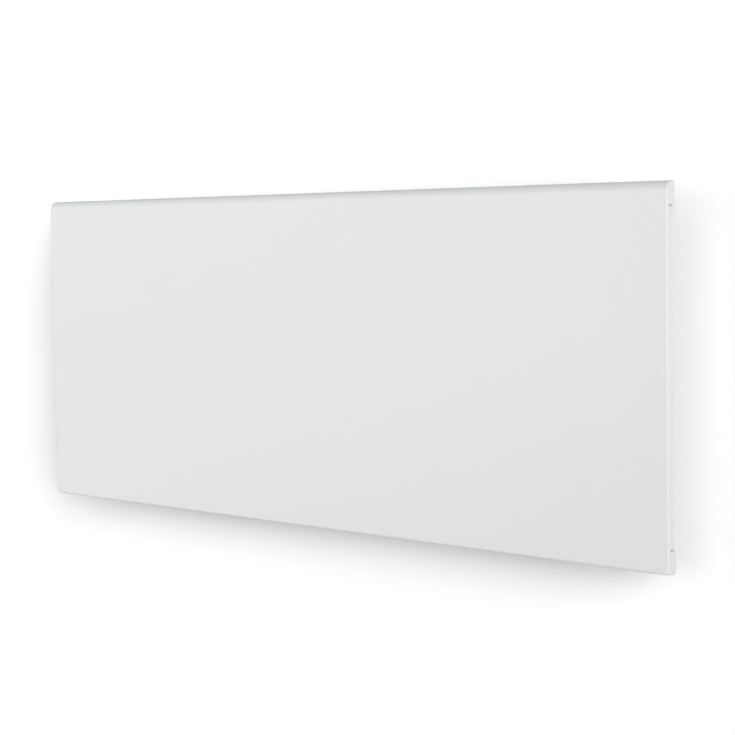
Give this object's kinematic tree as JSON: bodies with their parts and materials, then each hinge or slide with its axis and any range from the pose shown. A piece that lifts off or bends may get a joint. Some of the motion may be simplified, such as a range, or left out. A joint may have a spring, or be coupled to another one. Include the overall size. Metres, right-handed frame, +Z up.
{
  "type": "panel heater",
  "caption": "Wall-hung electric convector panel heater: a folded white front sheet over a slim finned-element casing, on a bracket it tilts away from.",
  "frame": {"origin": "on the wall surface, at the centre of the wall bracket's four screw holes, level with the middle of the front panel", "axes": "+X to the right seen from the room, +Y into the wall, +Z up"},
  "size_m": [1.025, 0.08, 0.4],
  "materials": {
    "panel_paint": "white powder coat, fine orange-peel texture, satin",
    "grille_paint": "white powder coat on punched sheet",
    "casing_zinc": "hot-dip galvanised sheet, fine spangle",
    "bracket_zinc": "galvanised pressed steel",
    "screw_steel": "zinc-plated screw",
    "rivet_aluminium": "blind rivet",
    "shield_aluminium": "bright rolled foil sheet",
    "element_aluminium": "extruded, satin",
    "rod_steel": "turned steel",
    "insulator_ceramic": "unglazed steatite",
    "terminal_brass": "turned brass",
    "housing_plastic": "black moulded plastic, fine spark texture",
    "cover_plastic": "white moulded plastic, fine spark texture",
    "board_laminate": "green solder mask",
    "component_plastic": "black moulded plastic",
    "lens_plastic": "clear amber plastic",
    "shaft_plastic": "natural plastic",
    "knob_plastic": "light grey moulded plastic",
    "switch_plastic": "black moulded plastic",
    "gland_plastic": "grey polyamide",
    "seal_rubber": "soft black rubber",
    "block_plastic": "natural polyamide",
    "cutout_phenolic": "brown phenolic with steel cap",
    "clip_plastic": "white polyamide",
    "sensor_epoxy": "black epoxy bead",
    "wire_silicone": "silicone-insulated wire",
    "spring_steel": "blued spring steel",
    "buffer_rubber": "moulded black rubber",
    "plate_foil": "bare matt foil plate"
  },
  "bodies": {
    "wall_bracket": {"bracket_upright_left": "bracket_zinc", "bracket_upright_right": "bracket_zinc", "bracket_rail_top": "bracket_zinc", "bracket_rail_bottom": "bracket_zinc", "bracket_rivets": "rivet_aluminium", "catch_clips": "spring_steel", "wall_buffers": "buffer_rubber"},
    "heater": {"front_panel": "panel_paint", "outlet_grille": "grille_paint", "rear_casing": "casing_zinc", "casing_end_left": "casing_zinc", "casing_end_right": "casing_zinc", "partition": "casing_zinc", "panel_rail_left": "casing_zinc", "panel_rail_right": "casing_zinc", "hanging_lug_left": "casing_zinc", "hanging_lug_right": "casing_zinc", "element_bracket_left": "casing_zinc", "element_bracket_right": "casing_zinc", "element_cradle": "casing_zinc", "casing_screws": "screw_steel", "control_screws": "screw_steel", "casing_rivets": "rivet_aluminium", "element_rivets": "rivet_aluminium", "rear_heat_shield": "shield_aluminium", "front_heat_shield": "shield_aluminium", "element_profile": "element_aluminium", "element_rod": "rod_steel", "pivot_pins": "rod_steel", "catch_pegs": "rod_steel", "element_insulators": "insulator_ceramic", "element_terminals": "terminal_brass", "terminal_screws": "terminal_brass", "switch_terminals": "terminal_brass", "earth_stud": "terminal_brass", "control_housing": "housing_plastic", "control_cover": "cover_plastic", "circuit_board": "board_laminate", "board_components": "component_plastic", "potentiometer": "component_plastic", "indicator_lens": "lens_plastic", "switch_body": "switch_plastic", "cable_gland": "gland_plastic", "gland_cap": "gland_plastic", "gland_locknut": "gland_plastic", "gland_seal": "seal_rubber", "terminal_block": "block_plastic", "overheat_cutout": "cutout_phenolic", "sensor_clip": "clip_plastic", "room_sensor": "sensor_epoxy", "supply_wires": "wire_silicone", "switched_wire": "wire_silicone", "cutout_lead": "wire_silicone", "element_lead": "wire_silicone", "return_lead": "wire_silicone", "sensor_lead": "wire_silicone", "rating_plate": "plate_foil"},
    "thermostat": {"thermostat_knob": "knob_plastic", "thermostat_shaft": "shaft_plastic"},
    "power_rocker": {"switch_rocker": "switch_plastic"}
  },
  "joints": [
    {"name": "heater_tilt", "type": "hinge", "parent": "wall_bracket", "child": "heater", "pos_m": [0, -0.011, -0.165], "axis": [1, 0, 0], "range_deg": [0, 20], "deforming": ["catch_clips"]},
    {"name": "thermostat_turn", "type": "hinge", "parent": "heater", "child": "thermostat", "pos_m": [0.4452, -0.0444, 0.185], "axis": [0, 0, -1], "range_deg": [0, 270]},
    {"name": "power_rock", "type": "hinge", "parent": "heater", "child": "power_rocker", "pos_m": [0.4132, -0.0444, 0.1847], "axis": [1, 0, 0], "range_deg": [0, 20]}
  ]
}
